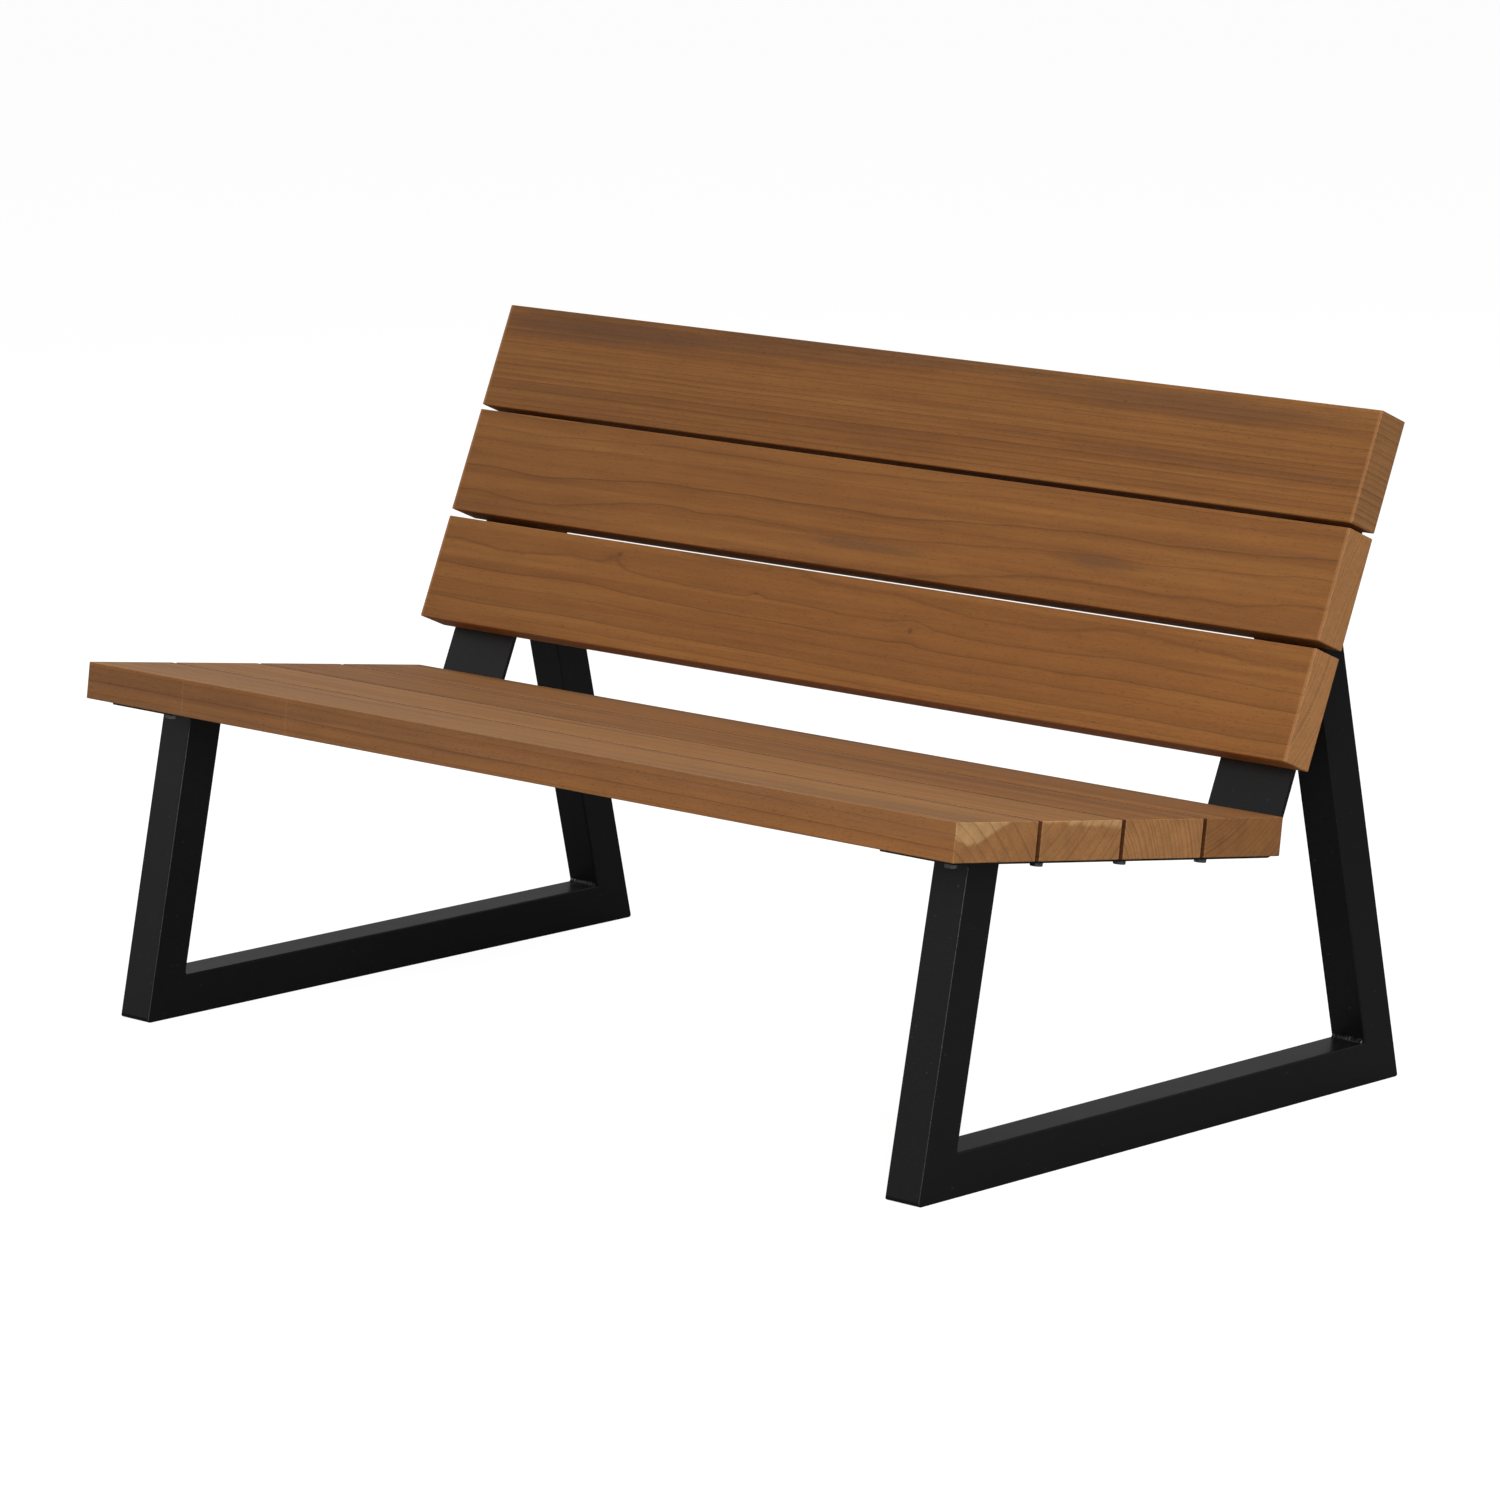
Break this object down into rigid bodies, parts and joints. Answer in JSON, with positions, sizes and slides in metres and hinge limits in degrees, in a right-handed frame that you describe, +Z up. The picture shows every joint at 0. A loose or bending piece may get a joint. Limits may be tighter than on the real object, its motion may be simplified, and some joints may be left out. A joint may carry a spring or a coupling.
{
  "type": "slatted bench with back",
  "caption": "Outdoor bench with a tilted plank seat and a reclined plank back, bolted to two welded square-tube steel side frames with bent flat-bar carriers",
  "frame": {"origin": "on the ground, under the middle of the bounding box", "axes": "+X along the planks, +Y from the front to the back, +Z up; left is -X, the left seen from the front"},
  "size_m": [1.4, 0.8206, 0.7923],
  "materials": {
    "timber": "oiled, satin, straight and cathedral grain",
    "frame_paint": "black powder coat, fine texture, satin",
    "fixings": "zinc plated, dulled",
    "inserts": "zinc plated"
  },
  "bodies": {
    "root": {"seat_plank_1": "timber", "seat_plank_2": "timber", "seat_plank_3": "timber", "seat_plank_4": "timber", "back_plank_1": "timber", "back_plank_2": "timber", "back_plank_3": "timber", "front_leg_left": "frame_paint", "rear_leg_left": "frame_paint", "floor_skid_left": "frame_paint", "seat_back_strap_left": "frame_paint", "weld_beads_left": "frame_paint", "front_leg_right": "frame_paint", "rear_leg_right": "frame_paint", "floor_skid_right": "frame_paint", "seat_back_strap_right": "frame_paint", "weld_beads_right": "frame_paint", "hex_bolts_seat_1": "fixings", "threaded_inserts_seat_1": "inserts", "hex_bolts_seat_2": "fixings", "threaded_inserts_seat_2": "inserts", "hex_bolts_seat_3": "fixings", "threaded_inserts_seat_3": "inserts", "hex_bolts_seat_4": "fixings", "threaded_inserts_seat_4": "inserts", "hex_bolts_back_1": "fixings", "threaded_inserts_back_1": "inserts", "hex_bolts_back_2": "fixings", "threaded_inserts_back_2": "inserts", "hex_bolts_back_3": "fixings", "threaded_inserts_back_3": "inserts"}
  },
  "joints": []
}
